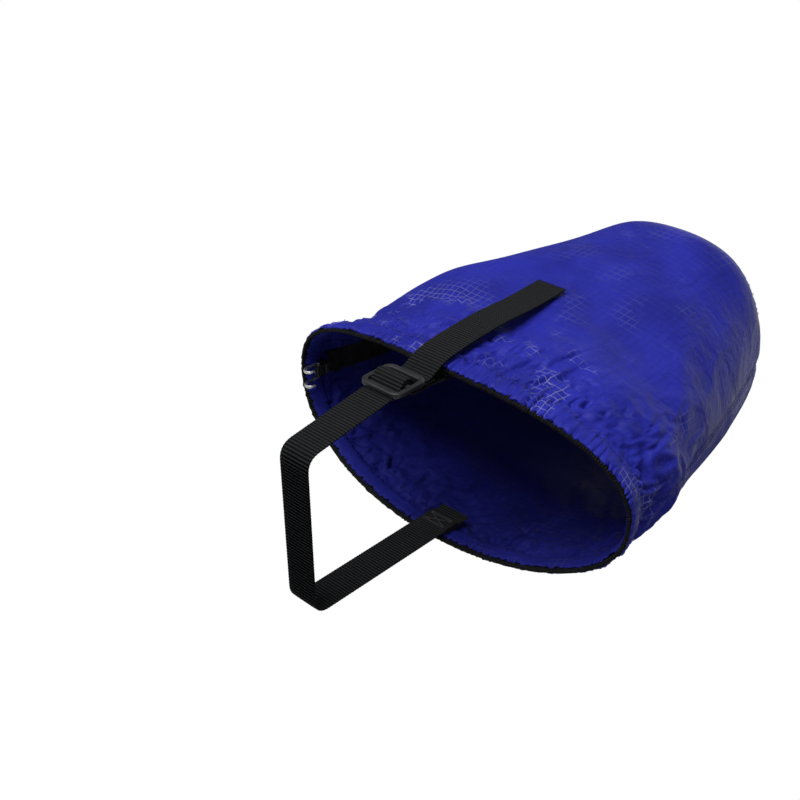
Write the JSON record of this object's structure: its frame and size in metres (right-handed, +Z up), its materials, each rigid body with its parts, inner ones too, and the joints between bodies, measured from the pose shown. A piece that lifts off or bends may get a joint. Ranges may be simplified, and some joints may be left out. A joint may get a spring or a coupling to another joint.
{
  "type": "boot gaiter",
  "caption": "Low pull-on ripstop gaiter with elastic edges, an under-sole webbing strap in a tri-glide slider, and a front lace hook.",
  "frame": {"origin": "middle of the strap's upper face, where the arch of the boot's sole rests on it", "axes": "+X to the toe, +Y to the buckle side (the wearer's left), +Z up the leg"},
  "size_m": [0.1944, 0.12, 0.2641],
  "materials": {
    "shell_fabric": "royal blue coated nylon ripstop, satin, with a raised grid of heavier threads",
    "elastic": "black woven elastic",
    "tape": "black woven seam tape",
    "webbing": "black ribbed polypropylene webbing",
    "thread": "dark bonded thread",
    "slider_plastic": "dark grey moulded acetal, fine matt texture",
    "hook_steel": "bright nickel-plated wire"
  },
  "bodies": {
    "shell": {"left_panel": "shell_fabric", "right_panel": "shell_fabric", "front_seam_tape": "tape", "rear_seam_tape": "tape", "bottom_hem_casing": "shell_fabric", "bottom_elastic": "elastic", "top_hem_casing": "shell_fabric", "top_elastic": "elastic", "left_strap_anchor": "webbing", "right_strap_anchor": "webbing", "hook_tab": "tape", "hook_bar_tack": "thread"},
    "strap": {"instep_strap": "webbing", "slider_tab": "webbing", "tab_stitch": "thread", "left_bar_tack": "thread", "right_bar_tack": "thread"},
    "slider": {"tri_glide_slider": "slider_plastic", "strap_lacing": "webbing"},
    "tail": {"strap_tail": "webbing"},
    "hook": {"lace_hook": "hook_steel"}
  },
  "joints": [
    {"name": "strap_swing", "type": "hinge", "parent": "shell", "child": "strap", "pos_m": [0, 0, 0.083], "axis": [0, 1, 0], "range_deg": [-20, 20]},
    {"name": "slider_tilt", "type": "hinge", "parent": "strap", "child": "slider", "pos_m": [0, 0.0464, 0.0546], "axis": [-1, 0, 0], "range_deg": [0, 30]},
    {"name": "tail_lift", "type": "hinge", "parent": "slider", "child": "tail", "pos_m": [0, 0.0443, 0.0659], "axis": [-1, 0, 0], "range_deg": [0, 80], "stiffness_Nm_per_rad": 0.003},
    {"name": "hook_swing", "type": "hinge", "parent": "shell", "child": "hook", "pos_m": [0.09037, 0, 0.095], "axis": [0, 1, 0], "range_deg": [-10, 70]}
  ]
}
